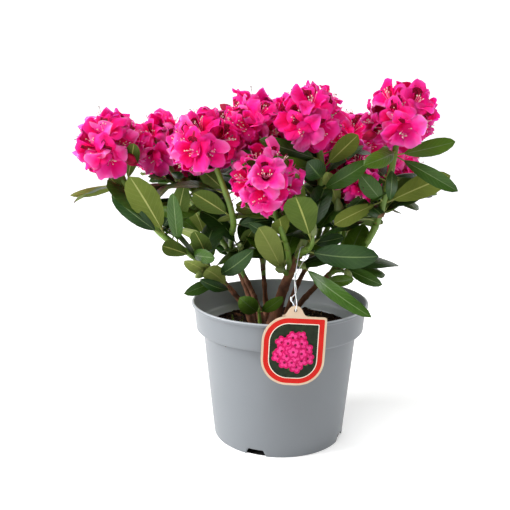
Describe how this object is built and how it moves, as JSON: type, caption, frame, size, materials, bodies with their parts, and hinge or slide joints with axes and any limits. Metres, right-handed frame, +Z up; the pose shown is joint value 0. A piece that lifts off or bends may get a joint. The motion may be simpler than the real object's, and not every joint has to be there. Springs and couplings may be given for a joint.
{
  "type": "potted rhododendron in bloom",
  "caption": "Broad-leaved evergreen azalea or rhododendron with round pink flower heads over glossy leaves, in a grey nursery pot with a hanging label.",
  "frame": {"origin": "middle of the flat underside of the pot", "axes": "+Z up, -Y towards the side that carries the label, +X to the right as seen from that side"},
  "size_m": [0.4896, 0.3848, 0.4677],
  "materials": {
    "pot_plastic": "satin grey injection-moulded plastic",
    "compost": "dark moist peat compost with fibres and bark crumbs",
    "bark": "thin brown bark with fine cracks and leaf scars",
    "green_wood": "smooth green young shoot with small brown specks",
    "leaves": "leathery leaf, glossy dark green above and matte pale green below",
    "blossom": "soft matte petal with a silky sheen",
    "label_card": "printed card, buff with a red band",
    "label_thread": "smooth white cord"
  },
  "bodies": {
    "root": {"pot": "pot_plastic", "compost": "compost", "label": "label_card", "label_string": "label_thread", "stem_main": "bark", "stem_left": "bark", "stem_left_low": "bark", "stem_centre": "bark", "stem_right": "bark", "stem_rear_right": "bark", "stem_rear_left": "bark", "bough_top": "green_wood", "bough_front": "green_wood", "bough_bud": "green_wood", "bough_mid": "green_wood", "bough_left_front": "green_wood", "bough_left_rear": "green_wood", "bough_left_outer": "green_wood", "bough_centre": "green_wood", "bough_back": "green_wood", "bough_right_outer": "green_wood", "bough_right_low": "green_wood", "bough_right_rear": "green_wood", "bough_right_back": "green_wood", "bough_back_right": "green_wood", "bough_back_left": "green_wood", "mass_top": "blossom", "mass_right_outer": "blossom", "mass_left_outer": "blossom", "mass_left_front": "blossom", "mass_centre": "blossom", "mass_front": "blossom", "mass_left_rear": "blossom", "mass_right_rear": "blossom", "mass_right_low": "blossom", "mass_right_back": "blossom", "mass_back": "blossom", "mass_back_right": "blossom", "mass_back_left": "blossom", "mass_bud_front": "leaves", "mass_mid_right": "leaves", "mass_main_low": "leaves", "mass_low_right": "leaves", "mass_low_left": "leaves", "mass_low_centre": "leaves", "mass_back_low": "leaves", "mass_right_back_low": "leaves", "mass_left_back_low": "leaves", "mass_bud_low": "leaves", "mass_foot_sprout": "leaves"}
  },
  "joints": []
}
